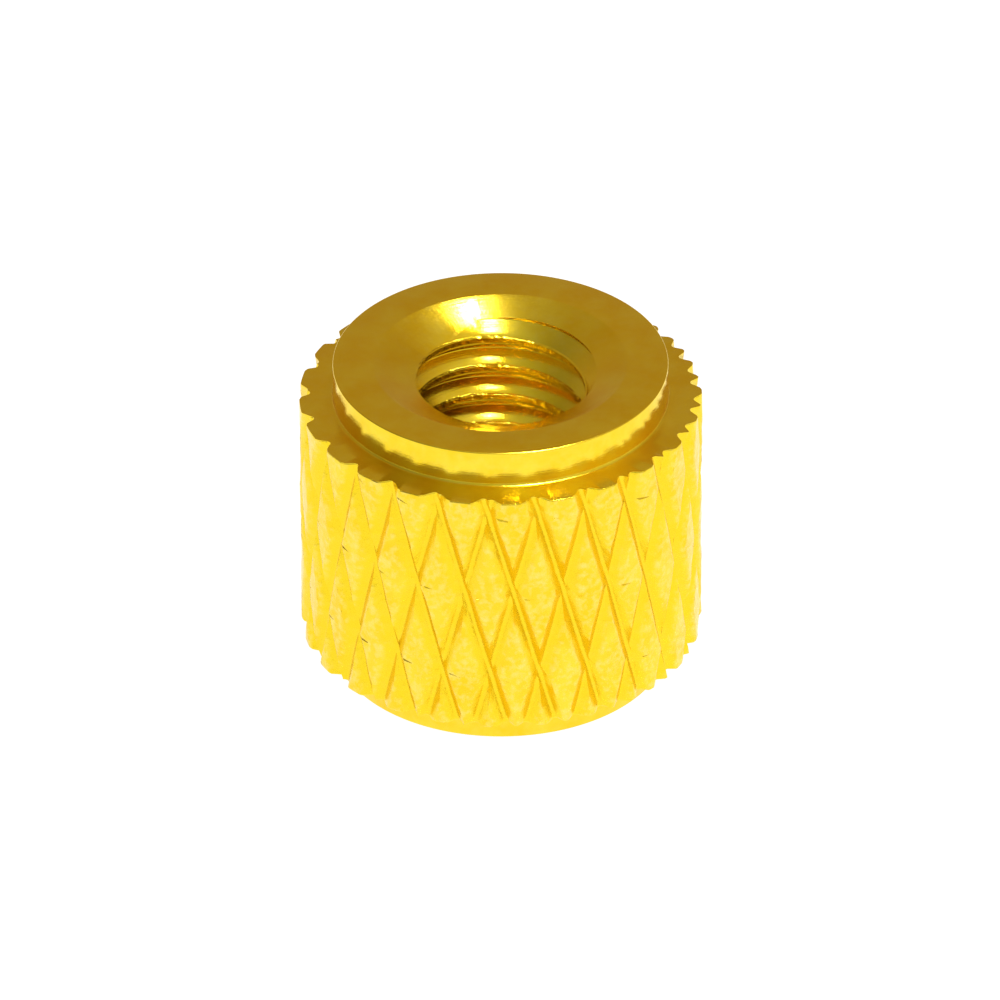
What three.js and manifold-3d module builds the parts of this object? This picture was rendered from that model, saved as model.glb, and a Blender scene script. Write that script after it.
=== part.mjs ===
// Round knurled nut: a crossed-groove gripping band with a plain collar at each end,
// and a right-hand M3 thread right through it. Millimetres, +Z up, standing on the lower collar.
import * as THREE from 'three';
import { mergeVertices } from 'three/addons/utils/BufferGeometryUtils.js';
import Module from 'manifold-3d';

// Body
const BAND_DIAMETER = 5.95;
const COLLAR_DIAMETER = 4.95;
const LOWER_COLLAR_HEIGHT = 0.51;
const BAND_LENGTH = 3.93;
const UPPER_COLLAR_HEIGHT = 0.56;
const BODY_SIDES = 100;

// Bore and thread, M3 x 0.5
const THREAD_MAJOR_DIAMETER = 3.0;
const THREAD_MINOR_DIAMETER = 2.5;
const THREAD_PITCH = 0.5;
const THREAD_ROOT_FLAT = THREAD_PITCH / 8;
const THREAD_HALF_ANGLE = 30;
const THREAD_SIDES = 32;
const THREAD_START_ANGLE = 231;
const COUNTERSINK_DIAMETER = 3.75;
const COUNTERSINK_SLOPE = 25;

// Gripping grooves: two crossing sets of V grooves, angles in degrees at the upper edge of the band
const RIGHT_SET = { count: 25, depth: 0.155, start: -95.4, twist: 16 };
const LEFT_SET = { count: 24, depth: 0.13, start: -93, twist: -15 };
const GROOVE_HALF_ANGLE = 50;
const GROOVE_STEPS = 6;
const GROOVE_OVERRUN = 0.25;

const CUT_CLEARANCE = 0.3;

const radians = THREE.MathUtils.degToRad;
const bandRadius = BAND_DIAMETER / 2;
const collarRadius = COLLAR_DIAMETER / 2;
const bandBottom = LOWER_COLLAR_HEIGHT;
const bandTop = bandBottom + BAND_LENGTH;
const bodyTop = bandTop + UPPER_COLLAR_HEIGHT;

const wasm = await Module();
wasm.setup();

function toSolid(geometry) {
  const bare = geometry.clone();
  bare.deleteAttribute('normal');
  bare.deleteAttribute('uv');
  const merged = mergeVertices(bare, 1e-5);
  return new wasm.Manifold(new wasm.Mesh({
    numProp: 3,
    vertProperties: new Float32Array(merged.attributes.position.array),
    triVerts: new Uint32Array(merged.index.array),
  }));
}

function toGeometry(solid) {
  const mesh = solid.getMesh();
  const geometry = new THREE.BufferGeometry();
  geometry.setAttribute('position', new THREE.BufferAttribute(new Float32Array(mesh.vertProperties), 3));
  geometry.setIndex(new THREE.BufferAttribute(new Uint32Array(mesh.triVerts), 1));
  geometry.computeVertexNormals();
  return geometry;
}

function indexedGeometry(points, triangles) {
  const geometry = new THREE.BufferGeometry();
  geometry.setAttribute('position', new THREE.Float32BufferAttribute(points.flatMap((p) => [...p]), 3));
  geometry.setIndex(triangles.flat());
  return geometry;
}

function onAxisCylinder(radius, angle, z) {
  return new THREE.Vector3(radius * Math.cos(angle), radius * Math.sin(angle), z);
}

// A turned solid about +Z. The outline is a list of [radius, height] from the lower axis point to the upper one.
function turned(outline, sides) {
  const profile = outline.map(([radius, z]) => new THREE.Vector2(radius, z));
  return toSolid(new THREE.LatheGeometry(profile, sides).rotateX(Math.PI / 2));
}

function turnedBlank() {
  return turned([
    [0, 0],
    [collarRadius, 0],
    [collarRadius, bandBottom],
    [bandRadius, bandBottom],
    [bandRadius, bandTop],
    [collarRadius, bandTop],
    [collarRadius, bodyTop],
    [0, bodyTop],
  ], BODY_SIDES);
}

// One V groove wound around the band: a triangular bar whose inner edge lies at the groove's depth.
function grooveCutter(set, index) {
  const outerRadius = bandRadius + CUT_CLEARANCE;
  const halfWidth = (set.depth + CUT_CLEARANCE) * Math.tan(radians(GROOVE_HALF_ANGLE));
  const halfTurn = halfWidth / outerRadius;
  const startAngle = radians(set.start + (360 / set.count) * index);
  const twistPerLength = radians(set.twist) / bandRadius;
  const length = BAND_LENGTH + 2 * GROOVE_OVERRUN;
  const points = [];
  const triangles = [];
  for (let i = 0; i <= GROOVE_STEPS; i += 1) {
    const below = (length * i) / GROOVE_STEPS - GROOVE_OVERRUN;
    const angle = startAngle + twistPerLength * below;
    const z = bandTop - below;
    points.push(onAxisCylinder(bandRadius - set.depth, angle, z));
    points.push(onAxisCylinder(outerRadius, angle - halfTurn, z));
    points.push(onAxisCylinder(outerRadius, angle + halfTurn, z));
  }
  for (let i = 0; i < GROOVE_STEPS; i += 1) {
    for (let side = 0; side < 3; side += 1) {
      const a = 3 * i + side;
      const b = 3 * i + ((side + 1) % 3);
      triangles.push([a, a + 3, b], [b, a + 3, b + 3]);
    }
  }
  const last = 3 * GROOVE_STEPS;
  triangles.push([0, 1, 2], [last, last + 2, last + 1]);
  return toSolid(indexedGeometry(points, triangles));
}

// The threaded core that the bore leaves open: its radius follows the thread form along the helix.
function threadCore() {
  const majorRadius = THREAD_MAJOR_DIAMETER / 2;
  const minorRadius = THREAD_MINOR_DIAMETER / 2;
  const flank = (majorRadius - minorRadius) * Math.tan(radians(THREAD_HALF_ANGLE));
  const form = [
    [majorRadius, 0],
    [majorRadius, THREAD_ROOT_FLAT],
    [minorRadius, THREAD_ROOT_FLAT + flank],
    [minorRadius, THREAD_PITCH - flank],
  ];
  const turns = Math.ceil(bodyTop / THREAD_PITCH) + 3;
  const startZ = -2 * THREAD_PITCH;
  const points = [];
  const triangles = [];
  const perColumn = form.length * turns;
  for (let i = 0; i < THREAD_SIDES; i += 1) {
    const angle = (2 * Math.PI * i) / THREAD_SIDES + radians(THREAD_START_ANGLE);
    const lift = startZ + (THREAD_PITCH * i) / THREAD_SIDES;
    for (let k = 0; k < perColumn; k += 1) {
      const [radius, z] = form[k % form.length];
      points.push(onAxisCylinder(radius, angle, lift + z + THREAD_PITCH * Math.floor(k / form.length)));
    }
  }
  // The last column joins the first one a whole pitch higher.
  const at = (i, k) => (i < THREAD_SIDES ? i * perColumn + k : k + form.length);
  const rows = perColumn - form.length;
  for (let i = 0; i < THREAD_SIDES; i += 1) {
    for (let k = 0; k < rows - 1; k += 1) {
      triangles.push([at(i, k), at(i + 1, k), at(i + 1, k + 1)], [at(i, k), at(i + 1, k + 1), at(i, k + 1)]);
    }
  }
  const lowCentre = points.push(new THREE.Vector3(0, 0, startZ - THREAD_PITCH)) - 1;
  const highCentre = points.push(new THREE.Vector3(0, 0, startZ + THREAD_PITCH * (turns + 1))) - 1;
  for (let i = 0; i < THREAD_SIDES; i += 1) {
    triangles.push([lowCentre, at(i + 1, 0), at(i, 0)], [highCentre, at(i, rows - 1), at(i + 1, rows - 1)]);
  }
  for (let k = 0; k < form.length; k += 1) {
    triangles.push([lowCentre, k, k + 1], [highCentre, rows + k, rows + k - 1]);
  }
  return toSolid(indexedGeometry(points, triangles));
}

// A countersink's cone, wider than the mouth where it stands clear of the face.
function countersink(faceZ, outward) {
  const clearRadius = COUNTERSINK_DIAMETER / 2 + CUT_CLEARANCE / Math.tan(radians(COUNTERSINK_SLOPE));
  const tip = faceZ - outward * (COUNTERSINK_DIAMETER / 2) * Math.tan(radians(COUNTERSINK_SLOPE));
  const outline = [
    [0, tip],
    [clearRadius, faceZ + outward * CUT_CLEARANCE],
    [0, faceZ + outward * CUT_CLEARANCE],
  ];
  return turned(outward > 0 ? outline : outline.reverse(), THREAD_SIDES * 2);
}

function knurledNut() {
  let solid = turnedBlank();
  for (const set of [RIGHT_SET, LEFT_SET]) {
    for (let i = 0; i < set.count; i += 1) {
      solid = solid.subtract(grooveCutter(set, i));
    }
  }
  solid = solid.subtract(threadCore());
  solid = solid.subtract(countersink(bodyTop, 1));
  solid = solid.subtract(countersink(0, -1));
  return toGeometry(solid);
}

const goldAnodised = new THREE.MeshStandardMaterial({ color: 0xd9a514, roughness: 0.32, metalness: 1 });

const nut = new THREE.Mesh(knurledNut(), goldAnodised);
nut.name = 'knurled_nut';

const part = new THREE.Group();
part.name = 'part';
part.add(nut);

export default part;
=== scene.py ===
import math
import random

import bmesh
import bpy
from mathutils import Matrix, Vector


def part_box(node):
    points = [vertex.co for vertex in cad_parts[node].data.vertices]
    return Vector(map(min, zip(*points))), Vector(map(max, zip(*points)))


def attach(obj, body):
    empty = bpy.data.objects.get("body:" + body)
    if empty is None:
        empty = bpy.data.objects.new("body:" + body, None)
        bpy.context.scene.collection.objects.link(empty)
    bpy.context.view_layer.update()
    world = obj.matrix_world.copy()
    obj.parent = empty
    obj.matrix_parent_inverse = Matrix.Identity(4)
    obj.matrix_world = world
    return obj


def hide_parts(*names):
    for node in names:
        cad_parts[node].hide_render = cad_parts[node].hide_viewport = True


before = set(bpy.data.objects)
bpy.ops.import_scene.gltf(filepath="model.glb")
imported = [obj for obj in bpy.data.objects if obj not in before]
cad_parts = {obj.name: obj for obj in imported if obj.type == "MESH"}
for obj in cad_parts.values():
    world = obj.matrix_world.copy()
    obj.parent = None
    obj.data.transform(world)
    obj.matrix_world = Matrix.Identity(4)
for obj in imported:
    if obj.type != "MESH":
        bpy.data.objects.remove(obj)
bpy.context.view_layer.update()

# The nut is modelled in millimetres and brought down to metres once it is finished.
MM = 0.001
NUT_NODE = "knurled_nut"

nut_low, nut_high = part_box(NUT_NODE)

# Turned body, and how far each of its edges is eased
BAND_RADIUS = (nut_high.x - nut_low.x) / 2 / MM
NUT_LENGTH = (nut_high.z - nut_low.z) / MM
LOWER_COLLAR_HEIGHT = 0.51
UPPER_COLLAR_HEIGHT = 0.56
COLLAR_RADIUS = 2.475
BAND_BOTTOM = LOWER_COLLAR_HEIGHT
BAND_TOP = NUT_LENGTH - UPPER_COLLAR_HEIGHT
COLLAR_EDGE = 0.018
COLLAR_FOOT = 0.045
BAND_UPPER_EDGE = 0.012
BAND_LOWER_EDGE = 0.02
LOWER_COLLAR_EDGE = 0.03
MOUTH_EDGE = 0.012
TURNED_SIDES = 360
BAND_ROWS = 72

# Hole: an M3 thread behind a shallow countersink, its crests eased where they were cut
BORE_RADIUS = 1.25
THREAD_RADIUS = 1.5
THREAD_PITCH = 0.5
THREAD_FLAT = THREAD_PITCH / 8
THREAD_FLANK = math.radians(30)
THREAD_START = math.radians(231)
THREAD_STEPS = 96
ROOT_ROUNDING = THREAD_FLAT / 4
CREST_DEPTH = 0.06
CREST_SLOPE = math.radians(50)
CREST_OVERRUN = 0.02
COUNTERSINK_RADIUS = 1.875
COUNTERSINK_SLOPE = math.radians(25)
COUNTERSINK_DEPTH = (COUNTERSINK_RADIUS - BORE_RADIUS) * math.tan(COUNTERSINK_SLOPE)

# Knurl: each set is (how many, depth, angle at the band's upper edge, twist), with the twist
# in degrees for each band radius of height
RIGHT_SET = (25, 0.155, -95.4, 16)
LEFT_SET = (24, 0.13, -93, -15)
RIGHT_SET_WALL = math.radians(38)
LEFT_SET_WALL = math.radians(47)
RIGHT_SET_BIAS = 0.015
LEFT_SET_BIAS = 0.0

# A groove's section: a narrow floor, a fillet, a wall and a shoulder, each angle from straight outward
GROOVE_FLOOR = 0.02
GROOVE_FILLET = math.radians(65)
FILLET_DEPTH = 0.015
GROOVE_SHOULDER = math.radians(68)
SHOULDER_DEPTH = 0.03
GROOVE_ROWS = 24
GROOVE_WANDER = math.radians(0.45)
GROOVE_UNEVEN = 0.012

# The small torn steps beside the crossings
NICK_SEED = 7
NICK_DEPTH = 0.013
NICK_STEP = 0.09
NICK_RAMP = 0.16
NICK_LENGTH = 0.36
NICK_OFFSET = 0.05
NICK_TILT = math.radians(16)
NICKS_MISSING = 0.2

# The band's uneven skin, as (size, height) of its waves, stopping short of the band's rims
SKIN_WAVES = ((0.45, 0.026), (0.16, 0.010))
RIM = 0.03

SMOOTH_ANGLE = math.radians(38)
OVERRUN = 0.06

# The camera stands far off with a long lens.
CAMERA_ELEVATION = math.radians(32.76)
CAMERA_DISTANCE = 76.6 * BAND_RADIUS * MM
CAMERA_ROLL = math.radians(-0.25)
BAND_RADIUS_IN_FRAME = 0.20157
SENSOR = 36.0

# Finish: colours, how rough each kind of surface is, and each pattern's scale and relief in millimetres
GOLD = (0.93, 0.70, 0.045, 1)
GOLD_WARM = (0.92, 0.63, 0.02, 1)
GOLD_PALE = (0.96, 0.76, 0.20, 1)
# The next colour is painted shade: a deeper gold laid into the groove floors
GOLD_GROOVE_SHADE = (0.92, 0.67, 0.02, 1)
BARE = (0.96, 0.77, 0.50, 1)
ROUGH_TURNED = 0.14
ROUGH_FACED = 0.17
ROUGH_KNURL = 0.27
# How much of that painted groove shade is laid on
GROOVE_SHADE_SHARE = 0.9
WEAR_SHARE = 0.8
TOOL_MARK_SCALE = 24.0
TOOL_MARK_RELIEF = 0.0015
GRAIN_SCALE = 38.0
GRAIN_RELIEF = 0.0012
PIT_SCALE = 9.0
PIT_RELIEF = 0.008
PATCH_SCALE = 2.0
TORN_SCALE = 11.0
TORN_RELIEF = 0.025

# Studio
FLOOR_SIZE = 3.0
FLOOR_GLOW = 1.0
FLOOR_SHADE = (0.2, 0.2, 0.2, 1)
STUDIO_BEHIND = (0.40, 0.30, 0.17, 1)
STUDIO_BEFORE = (0.62, 0.62, 0.60, 1)
STUDIO_LEFT = 0.5
STUDIO_RIGHT = 1.25
LIGHT_DISTANCE = 0.35
LIGHT_DIRECTION = (0.20, -0.05, 0.97)
LIGHT_WIDTH = 0.054
LIGHT_DEPTH = 0.20
LIGHT_POWER = 2.5
AIM_BELOW_SHOULDER = 0.627 * BAND_RADIUS
AIM_ASIDE = -0.0052 * BAND_RADIUS


def start_mesh():
    """Leaves edit mode and clears the selection before a new primitive."""
    if bpy.context.object and bpy.context.object.mode != "OBJECT":
        bpy.ops.object.mode_set(mode="OBJECT")
    bpy.ops.object.select_all(action="DESELECT")


def only(piece):
    """Makes a piece the one selected and active object."""
    start_mesh()
    piece.select_set(True)
    bpy.context.view_layer.objects.active = piece


def select_edges(piece, test):
    """Selects, in edit mode, the edges whose two ends pass the test."""
    bpy.ops.mesh.select_mode(type="EDGE")
    bpy.ops.mesh.select_all(action="DESELECT")
    mesh = bmesh.from_edit_mesh(piece.data)
    for edge in mesh.edges:
        if test(edge.verts[0].co, edge.verts[1].co):
            edge.select_set(True)
    bmesh.update_edit_mesh(piece.data)


def from_axis(point):
    return math.hypot(point.x, point.y)


def near(value, goal, slack=1e-3):
    return abs(value - goal) < slack


def apply_modifier(piece, kind, **settings):
    """Adds a modifier with its settings and applies it."""
    only(piece)
    modifier = piece.modifiers.new(kind.lower(), kind)
    for name, value in settings.items():
        setattr(modifier, name, value)
    bpy.ops.object.modifier_apply(modifier=modifier.name)


def cut(piece, cutter):
    """Cuts one closed piece out of another and throws the cutter away."""
    apply_modifier(piece, "BOOLEAN", object=cutter, operation="DIFFERENCE", solver="MANIFOLD")
    bpy.data.objects.remove(cutter)


def soften_ring(piece, radius, height, width, segments):
    """Rounds the turned edge that lies on one circle."""
    def on_circle(a, b):
        return all(near(from_axis(p), radius) and near(p.z, height) for p in (a, b))

    select_edges(piece, on_circle)
    bpy.ops.mesh.bevel(offset=width, segments=segments, profile=0.5, affect="EDGES", clamp_overlap=False)


def turned_blank():
    """The nut as it leaves the lathe, before knurling and tapping."""
    outline = [
        (BORE_RADIUS, COUNTERSINK_DEPTH),
        (COUNTERSINK_RADIUS, 0),
        (COLLAR_RADIUS, 0),
        (COLLAR_RADIUS, BAND_BOTTOM),
        (BAND_RADIUS, BAND_BOTTOM),
        (BAND_RADIUS, BAND_TOP),
        (COLLAR_RADIUS, BAND_TOP),
        (COLLAR_RADIUS, NUT_LENGTH),
        (COUNTERSINK_RADIUS, NUT_LENGTH),
        (BORE_RADIUS, NUT_LENGTH - COUNTERSINK_DEPTH),
    ]
    start_mesh()
    radius, height = outline[0]
    bpy.ops.mesh.primitive_circle_add(vertices=TURNED_SIDES, radius=radius, location=(0, 0, height))
    blank = bpy.context.object
    blank.name = NUT_NODE + "_turned"
    bpy.ops.object.transform_apply(location=True)
    bpy.ops.object.mode_set(mode="EDIT")
    bpy.ops.mesh.select_mode(type="EDGE")
    bpy.ops.mesh.select_all(action="SELECT")
    for next_radius, next_height in outline[1:] + outline[:1]:
        bpy.ops.mesh.extrude_region_move(TRANSFORM_OT_translate={"value": (0, 0, next_height - height)})
        widen = next_radius / radius
        bpy.ops.transform.resize(value=(widen, widen, 1), center_override=(0, 0, next_height))
        radius, height = next_radius, next_height
    bpy.ops.mesh.select_all(action="SELECT")
    bpy.ops.mesh.remove_doubles(threshold=1e-4)
    bpy.ops.mesh.normals_make_consistent(inside=False)
    for edge in (
        (COLLAR_RADIUS, NUT_LENGTH, COLLAR_EDGE, 3),
        (COLLAR_RADIUS, BAND_TOP, COLLAR_FOOT, 5),
        (BAND_RADIUS, BAND_TOP, BAND_UPPER_EDGE, 2),
        (BAND_RADIUS, BAND_BOTTOM, BAND_LOWER_EDGE, 2),
        (COLLAR_RADIUS, BAND_BOTTOM, COLLAR_FOOT, 5),
        (COLLAR_RADIUS, 0, LOWER_COLLAR_EDGE, 3),
        (COUNTERSINK_RADIUS, 0, MOUTH_EDGE, 2),
        (COUNTERSINK_RADIUS, NUT_LENGTH, MOUTH_EDGE, 2),
    ):
        soften_ring(blank, *edge)

    def up_the_band(a, b):
        return near(from_axis(a), BAND_RADIUS) and near(from_axis(b), BAND_RADIUS) and abs(a.z - b.z) > 1

    select_edges(blank, up_the_band)
    bpy.ops.mesh.subdivide(number_cuts=BAND_ROWS)
    bpy.ops.object.mode_set(mode="OBJECT")
    return blank


def bar(corners, low, high, rows):
    """A closed upright bar whose section has the given corners, cut across into rows."""
    start_mesh()
    middle = (0, 0, (low + high) / 2)
    bpy.ops.mesh.primitive_cylinder_add(vertices=len(corners), radius=1, depth=high - low, location=middle)
    piece = bpy.context.object
    bpy.ops.object.transform_apply(location=True)
    bpy.ops.object.mode_set(mode="EDIT")
    for number, (x, y) in enumerate(corners):
        angle = 2 * math.pi * number / len(corners)
        corner = Vector((math.sin(angle), math.cos(angle), 0))

        def on_corner(a, b):
            return all(near(p.x, corner.x) and near(p.y, corner.y) for p in (a, b))

        select_edges(piece, on_corner)
        bpy.ops.transform.translate(value=Vector((x, y, 0)) - corner)
    select_edges(piece, lambda a, b: abs(a.z - b.z) > 1e-3)
    if rows:
        bpy.ops.mesh.subdivide(number_cuts=rows)
    bpy.ops.mesh.select_all(action="SELECT")
    bpy.ops.mesh.normals_make_consistent(inside=False)
    bpy.ops.object.mode_set(mode="OBJECT")
    return piece


def copy_of(piece, angle, lift, height=0.0):
    """A copy turned round the nut's axis, and moved out from it and up."""
    only(piece)
    bpy.ops.object.duplicate(linked=False)
    copy = bpy.context.object
    outward = Vector((math.cos(angle), math.sin(angle), 0)) * lift
    copy.rotation_euler = (0, 0, angle)
    copy.location = outward + Vector((0, 0, height))
    bpy.ops.object.transform_apply(location=True, rotation=True)
    return copy


def joined(pieces):
    """Several pieces made one."""
    start_mesh()
    for piece in pieces:
        piece.select_set(True)
    bpy.context.view_layer.objects.active = pieces[0]
    bpy.ops.object.join()
    return bpy.context.object


def groove_cutters(count, depth, start, twist, wall_angle, bias):
    """One set of knurling grooves as cutters, each a V with a soft floor and soft shoulders."""
    floor = GROOVE_FLOOR / 2
    fillet = floor + FILLET_DEPTH * math.tan(GROOVE_FILLET)
    wall = fillet + (depth - FILLET_DEPTH - SHOULDER_DEPTH) * math.tan(wall_angle)
    mouth = wall + (SHOULDER_DEPTH + OVERRUN) * math.tan(GROOVE_SHOULDER)
    section = [
        (BAND_RADIUS - depth, bias - floor),
        (BAND_RADIUS - depth, bias + floor),
        (BAND_RADIUS - depth + FILLET_DEPTH, bias + fillet),
        (BAND_RADIUS - SHOULDER_DEPTH, wall),
        (BAND_RADIUS + OVERRUN, mouth),
        (BAND_RADIUS + OVERRUN, -mouth),
        (BAND_RADIUS - SHOULDER_DEPTH, -wall),
        (BAND_RADIUS - depth + FILLET_DEPTH, bias - fillet),
    ]
    low = BAND_BOTTOM - OVERRUN
    high = BAND_TOP + OVERRUN
    groove = bar(section, low, high, GROOVE_ROWS)
    turn = -math.radians(twist) * (high - low) / BAND_RADIUS
    apply_modifier(groove, "SIMPLE_DEFORM", deform_method="TWIST", deform_axis="Z", angle=turn)
    first = math.radians(start + twist * BAND_TOP / BAND_RADIUS)
    spread = random.Random(count)
    cutters = []
    for number in range(count):
        angle = first + 2 * math.pi * number / count + spread.uniform(-1, 1) * GROOVE_WANDER
        cutters.append(copy_of(groove, angle, spread.uniform(-1, 1) * GROOVE_UNEVEN))
    bpy.data.objects.remove(groove)
    return joined(cutters)


def crossings():
    """Where the two sets of grooves cross on the band, as (angle, height)."""
    right_count, _, right_start, right_twist = RIGHT_SET
    left_count, _, left_start, left_twist = LEFT_SET
    closing = right_twist - left_twist
    found = []
    for right in range(right_count):
        right_angle = right_start + 360 / right_count * right
        for left in range(-left_count, 2 * left_count):
            left_angle = left_start + 360 / left_count * left
            drop = (left_angle - right_angle) / closing * BAND_RADIUS
            if 0 < drop < BAND_TOP - BAND_BOTTOM:
                angle = right_angle + right_twist * drop / BAND_RADIUS
                found.append((math.radians(angle), BAND_TOP - drop))
    return found


def nick_cutters():
    """The short torn steps beside the crossings, where one knurl ran over the other."""
    section = [
        (BAND_RADIUS - NICK_DEPTH, 0),
        (BAND_RADIUS + OVERRUN, NICK_STEP),
        (BAND_RADIUS + OVERRUN, -NICK_RAMP),
    ]
    spread = random.Random(NICK_SEED)
    cutters = []
    for angle, height in crossings():
        if spread.random() < NICKS_MISSING:
            continue
        nick = bar(section, 0, NICK_LENGTH * spread.uniform(0.7, 1.15), 0)
        nick.rotation_euler = (-math.pi / 2 - NICK_TILT * spread.uniform(0.5, 1.3), 0, 0)
        bpy.ops.object.transform_apply(rotation=True)
        beside = angle + NICK_OFFSET / BAND_RADIUS
        cutters.append(copy_of(nick, beside, spread.uniform(-0.5, 0.4) * NICK_DEPTH, height))
        bpy.data.objects.remove(nick)
    return joined(cutters)


def thread_cutter():
    """The groove that the tap cut: one ridge wound right through the nut."""
    inner = BORE_RADIUS - CREST_OVERRUN
    shoulder = BORE_RADIUS + CREST_DEPTH
    inner_width = THREAD_FLAT + 2 * (THREAD_RADIUS - inner) * math.tan(THREAD_FLANK)
    start_mesh()
    bpy.ops.mesh.primitive_plane_add(size=1, rotation=(math.pi / 2, 0, 0))
    ridge = bpy.context.object
    ridge.scale = (THREAD_RADIUS - inner, inner_width, 1)
    ridge.location = ((THREAD_RADIUS + inner) / 2, 0, THREAD_FLAT / 2 - 2 * THREAD_PITCH)
    bpy.ops.object.transform_apply(location=True, rotation=True, scale=True)
    bpy.ops.object.mode_set(mode="EDIT")
    select_edges(ridge, lambda a, b: near(a.x, THREAD_RADIUS) and near(b.x, THREAD_RADIUS))
    bpy.ops.transform.resize(value=(1, 1, THREAD_FLAT / inner_width))
    bpy.ops.mesh.select_mode(type="VERT")
    bpy.ops.mesh.bevel(offset=ROOT_ROUNDING, segments=2, affect="VERTICES")
    bpy.ops.mesh.select_all(action="SELECT")
    bpy.ops.mesh.bisect(plane_co=(shoulder, 0, 0), plane_no=(1, 0, 0))
    select_edges(ridge, lambda a, b: near(a.x, inner) and near(b.x, inner))
    flare = 2 * (shoulder - inner) * (math.tan(CREST_SLOPE) - math.tan(THREAD_FLANK))
    bpy.ops.transform.resize(value=(1, 1, 1 + flare / inner_width))
    bpy.ops.mesh.select_mode(type="FACE")
    bpy.ops.mesh.select_all(action="SELECT")
    bpy.ops.mesh.dissolve_faces()
    bpy.ops.mesh.delete(type="ONLY_FACE")
    bpy.ops.object.mode_set(mode="OBJECT")
    turns = math.ceil(NUT_LENGTH / THREAD_PITCH) + 3
    apply_modifier(
        ridge, "SCREW", screw_offset=THREAD_PITCH, iterations=turns, steps=THREAD_STEPS,
        render_steps=THREAD_STEPS, use_normal_calculate=True,
    )
    ridge.rotation_euler.z = THREAD_START
    bpy.ops.object.transform_apply(rotation=True)
    bpy.ops.object.mode_set(mode="EDIT")
    bpy.ops.mesh.select_mode(type="EDGE")
    bpy.ops.mesh.select_all(action="DESELECT")
    bpy.ops.mesh.select_non_manifold()
    bpy.ops.mesh.fill_holes(sides=0)
    bpy.ops.mesh.select_all(action="SELECT")
    bpy.ops.mesh.normals_make_consistent(inside=False)
    bpy.ops.object.mode_set(mode="OBJECT")
    return ridge


def roughen_band(nut):
    """The slightly uneven, rolled-over skin of the knurled band."""
    band = nut.vertex_groups.new(name="band")
    members = [
        v.index for v in nut.data.vertices
        if from_axis(v.co) > COLLAR_RADIUS + 4 * OVERRUN and BAND_BOTTOM + RIM < v.co.z < BAND_TOP - RIM
    ]
    band.add(members, 1.0, "REPLACE")
    for scale, height in SKIN_WAVES:
        texture = bpy.data.textures.new("uneven_skin", "CLOUDS")
        texture.noise_scale = scale
        texture.noise_depth = 1
        apply_modifier(nut, "DISPLACE", texture=texture, texture_coords="LOCAL", direction="NORMAL",
                       vertex_group="band", strength=height, mid_level=0.5)


def paint_wear(nut):
    """Paints how far each point stands proud or sinks in, for the finish to wear pale by along its proud
    edges.
    """
    only(nut)
    nut.data.color_attributes.new("wear", "FLOAT_COLOR", "POINT")
    bpy.ops.object.mode_set(mode="VERTEX_PAINT")
    bpy.ops.paint.vertex_color_dirt(blur_strength=1, blur_iterations=0, dirt_only=False)
    bpy.ops.object.mode_set(mode="OBJECT")


def knurled_nut():
    """The whole nut: turned, knurled twice over, tapped and finished."""
    nut = turned_blank()
    cut(nut, groove_cutters(*RIGHT_SET, RIGHT_SET_WALL, RIGHT_SET_BIAS))
    cut(nut, groove_cutters(*LEFT_SET, LEFT_SET_WALL, LEFT_SET_BIAS))
    cut(nut, nick_cutters())
    cut(nut, thread_cutter())
    roughen_band(nut)
    only(nut)
    bpy.ops.object.shade_smooth_by_angle(angle=SMOOTH_ANGLE)
    paint_wear(nut)
    nut.scale = (MM, MM, MM)
    only(nut)
    bpy.ops.object.transform_apply(scale=True)
    return nut


def add(tree, kind, *inputs, **settings):
    """Adds a shader node and fills its inputs in order: a socket is linked, a value is set, None is left."""
    new = tree.nodes.new(kind)
    for name, value in settings.items():
        setattr(new, name, value)
    for socket, value in zip(new.inputs, inputs):
        if isinstance(value, bpy.types.NodeSocket):
            tree.links.new(value, socket)
        elif value is not None:
            socket.default_value = value
    return new.outputs[0]


def sums(tree, operation, *values):
    return add(tree, "ShaderNodeMath", *values, operation=operation)


def ramp(tree, value, low, high, start=0.0, end=1.0):
    """Carries a value from start to end as it goes from low to high, and holds it outside them."""
    return add(tree, "ShaderNodeMapRange", value, low, high, start, end)


def blend_colours(tree, share, first, second):
    mixer = tree.nodes.new("ShaderNodeMix")
    mixer.data_type = "RGBA"
    for number, value in ((0, share), (6, first), (7, second)):
        if isinstance(value, bpy.types.NodeSocket):
            tree.links.new(value, mixer.inputs[number])
        else:
            mixer.inputs[number].default_value = value
    return mixer.outputs[2]


def speckle(tree, place, scale, detail=2.0, roughness=0.5):
    noise = tree.nodes.new("ShaderNodeTexNoise")
    noise.inputs["Scale"].default_value = scale
    noise.inputs["Detail"].default_value = detail
    noise.inputs["Roughness"].default_value = roughness
    tree.links.new(place, noise.inputs["Vector"])
    return noise.outputs["Fac"]


def bump(tree, height, depth_mm, under=None):
    """Lays a relief of the given depth over the surface, or over another relief."""
    relief = tree.nodes.new("ShaderNodeBump")
    relief.inputs["Distance"].default_value = depth_mm * MM
    tree.links.new(height, relief.inputs["Height"])
    if under:
        tree.links.new(under, relief.inputs["Normal"])
    return relief.outputs["Normal"]


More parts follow.
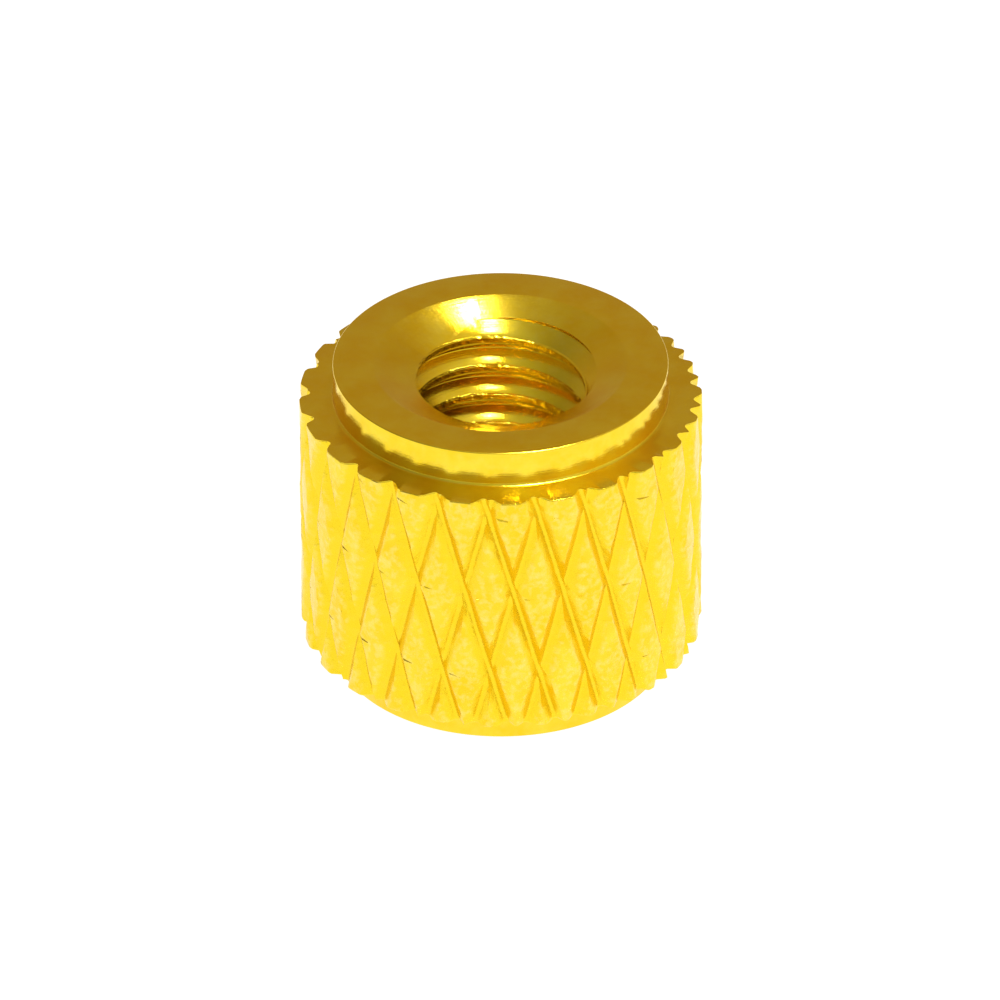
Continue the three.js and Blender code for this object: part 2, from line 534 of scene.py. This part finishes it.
def gold_anodised():
    """Turned and knurled aluminium under a clear gold anodised skin, worn pale along its proud edges, with a
    deeper gold painted into the groove floors as shade.
    """
    material = bpy.data.materials.new("gold_anodised_aluminium")
    material.use_nodes = True
    tree = material.node_tree
    shader = tree.nodes["Principled BSDF"]
    place = tree.nodes.new("ShaderNodeTexCoord").outputs["Object"]
    place = add(tree, "ShaderNodeVectorMath", place, operation="SCALE")
    place.node.inputs["Scale"].default_value = 1 / MM
    parts = tree.nodes.new("ShaderNodeSeparateXYZ")
    tree.links.new(place, parts.inputs[0])
    flat = add(tree, "ShaderNodeCombineXYZ", parts.outputs[0], parts.outputs[1], 0.0)
    length = tree.nodes.new("ShaderNodeVectorMath")
    length.operation = "LENGTH"
    tree.links.new(flat, length.inputs[0])
    radius = length.outputs["Value"]
    height = parts.outputs[2]

    # Where each kind of surface is
    outward = ramp(tree, radius, COLLAR_RADIUS + 0.2, COLLAR_RADIUS + 0.3)
    above_low = ramp(tree, height, BAND_BOTTOM + 0.005, BAND_BOTTOM + 0.02)
    below_top = ramp(tree, height, BAND_TOP - 0.02, BAND_TOP - 0.005, 1.0, 0.0)
    knurled = sums(tree, "MULTIPLY", sums(tree, "MULTIPLY", above_low, below_top), outward)
    plain = sums(tree, "SUBTRACT", 1.0, knurled)
    # The groove floors, which get painted shade
    groove_shade = sums(tree, "MULTIPLY", ramp(tree, radius, BAND_RADIUS - 0.01, BAND_RADIUS - 0.07), knurled)
    crest = ramp(tree, radius, BORE_RADIUS + 0.005, BORE_RADIUS + 0.02, 1.0, 0.0)
    flats = 0.0
    for level in (0, BAND_BOTTOM, BAND_TOP, NUT_LENGTH):
        flats = sums(tree, "ADD", flats, sums(tree, "COMPARE", height, level, 0.003))
    worn = tree.nodes.new("ShaderNodeAttribute")
    worn.attribute_name = "wear"
    proud = worn.outputs["Fac"]

    # Patterns
    turned = add(tree, "ShaderNodeCombineXYZ", radius, height, 0.0)
    tool_marks = speckle(tree, turned, TOOL_MARK_SCALE, 3.0, 0.6)
    grain = speckle(tree, place, GRAIN_SCALE, 3.0, 0.6)
    pits = speckle(tree, place, PIT_SCALE, 3.0, 0.55)
    patches = speckle(tree, place, PATCH_SCALE, 3.0)
    torn = speckle(tree, place, TORN_SCALE, 2.0)

    # Colour
    edge_share = sums(tree, "MULTIPLY", ramp(tree, proud, 0.56, 0.8), ramp(tree, pits, 0.40, 0.58))
    colour = blend_colours(tree, ramp(tree, patches, 0.35, 0.65), GOLD_WARM, GOLD)
    pale = ramp(tree, pits, 0.45, 0.72, 0.0, 0.7)
    pale_share = sums(tree, "MULTIPLY", pale, ramp(tree, knurled, 0.0, 1.0, 0.2, 1.0))
    colour = blend_colours(tree, pale_share, colour, GOLD_PALE)
    # Painted shade: the groove floors are laid over with a deeper, less pale gold where shade falls in them
    colour = blend_colours(tree, sums(tree, "MULTIPLY", groove_shade, GROOVE_SHADE_SHARE), colour, GOLD_GROOVE_SHADE)
    colour = blend_colours(tree, sums(tree, "MULTIPLY", edge_share, WEAR_SHARE), colour, BARE)
    tree.links.new(colour, shader.inputs["Base Color"])

    # Gloss
    gloss = ramp(tree, grain, 0.25, 0.75, ROUGH_TURNED - 0.03, ROUGH_TURNED + 0.04)
    gloss = sums(tree, "ADD", gloss, sums(tree, "MULTIPLY", knurled, ROUGH_KNURL - ROUGH_TURNED))
    gloss = sums(tree, "ADD", gloss, sums(tree, "MULTIPLY", flats, ROUGH_FACED - ROUGH_TURNED))
    gloss = sums(tree, "ADD", gloss, sums(tree, "MULTIPLY", edge_share, 0.08))
    gloss = sums(tree, "ADD", gloss, ramp(tree, patches, 0.3, 0.7, -0.01, 0.015))
    tree.links.new(gloss, shader.inputs["Roughness"])
    shader.inputs["Metallic"].default_value = 1.0

    # Relief
    marks = bump(tree, sums(tree, "MULTIPLY", tool_marks, plain), TOOL_MARK_RELIEF)
    fine = bump(tree, grain, GRAIN_RELIEF, marks)
    skin = bump(tree, sums(tree, "MULTIPLY", pits, knurled), PIT_RELIEF, fine)
    ragged = bump(tree, sums(tree, "MULTIPLY", torn, crest), TORN_RELIEF, skin)
    tree.links.new(ragged, shader.inputs["Normal"])
    return material


def softbox(name, direction, width, depth, power):
    """A soft light that looks at the nut from a direction and leaves the floor as it is."""
    light = bpy.data.lights.new(name, "AREA")
    light.shape = "RECTANGLE"
    light.size = width
    light.size_y = depth
    light.energy = power
    lamp = bpy.data.objects.new(name, light)
    bpy.context.scene.collection.objects.link(lamp)
    towards = Vector(direction).normalized()
    lamp.location = towards * LIGHT_DISTANCE
    across = Vector((0, 1, 0)).cross(towards).normalized()
    lamp.rotation_euler = Matrix((across, towards.cross(across), towards)).transposed().to_euler()
    lamp.visible_diffuse = False


def white_floor():
    """A pale lit table top."""
    start_mesh()
    bpy.ops.mesh.primitive_plane_add(size=FLOOR_SIZE, location=(0, 0, nut_low.z))
    floor = bpy.context.object
    floor.name = "floor"
    bpy.ops.object.transform_apply(location=True)
    material = bpy.data.materials.new("pale_floor")
    material.use_nodes = True
    shader = material.node_tree.nodes["Principled BSDF"]
    shader.inputs["Base Color"].default_value = FLOOR_SHADE
    shader.inputs["Roughness"].default_value = 0.8
    shader.inputs["Emission Color"].default_value = (1, 1, 1, 1)
    shader.inputs["Emission Strength"].default_value = FLOOR_GLOW
    floor.data.materials.append(material)


def surroundings():
    """A plain studio, dimmer and warmer behind the nut and brighter to its right."""
    world = bpy.data.worlds.new("studio")
    bpy.context.scene.world = world
    world.use_nodes = True
    tree = world.node_tree
    towards = tree.nodes.new("ShaderNodeSeparateXYZ")
    tree.links.new(tree.nodes.new("ShaderNodeTexCoord").outputs["Generated"], towards.inputs[0])
    share = ramp(tree, towards.outputs[1], -0.6, 0.6)
    side = ramp(tree, towards.outputs[0], -0.7, 0.7, STUDIO_LEFT, STUDIO_RIGHT)
    back = ramp(tree, towards.outputs[1], 0.0, 0.7)
    strength = add(tree, "ShaderNodeMix", back, None, side, 1.0)
    background = tree.nodes["Background"]
    tree.links.new(blend_colours(tree, share, STUDIO_BEFORE, STUDIO_BEHIND), background.inputs["Color"])
    tree.links.new(strength, background.inputs["Strength"])


def camera():
    """The long lens in front of the nut, looking down on it."""
    lens = bpy.data.cameras.new("camera")
    lens.sensor_width = SENSOR
    lens.lens = SENSOR * BAND_RADIUS_IN_FRAME * CAMERA_DISTANCE / (BAND_RADIUS * MM)
    lens.clip_start = CAMERA_DISTANCE / 20
    lens.clip_end = 20.0
    viewer = bpy.data.objects.new("camera", lens)
    bpy.context.scene.collection.objects.link(viewer)
    shoulder = Vector((0, 0, BAND_TOP * MM))
    back = Vector((0, -math.cos(CAMERA_ELEVATION), math.sin(CAMERA_ELEVATION)))
    viewer.location = shoulder + back * CAMERA_DISTANCE
    aim = Vector((AIM_ASIDE, 0, BAND_TOP - AIM_BELOW_SHOULDER)) * MM
    facing = (viewer.location - aim).to_track_quat("Z", "Y").to_matrix()
    viewer.rotation_euler = (facing @ Matrix.Rotation(CAMERA_ROLL, 3, "Z")).to_euler()
    bpy.context.scene.camera = viewer


bpy.context.scene.view_settings.view_transform = "Standard"
camera()
surroundings()
white_floor()
softbox("overhead", LIGHT_DIRECTION, LIGHT_WIDTH, LIGHT_DEPTH, LIGHT_POWER)

nut = knurled_nut()
nut.name = "knurled_nut_finished"
nut.data.materials.clear()
nut.data.materials.append(gold_anodised())
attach(nut, "root")
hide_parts(NUT_NODE)
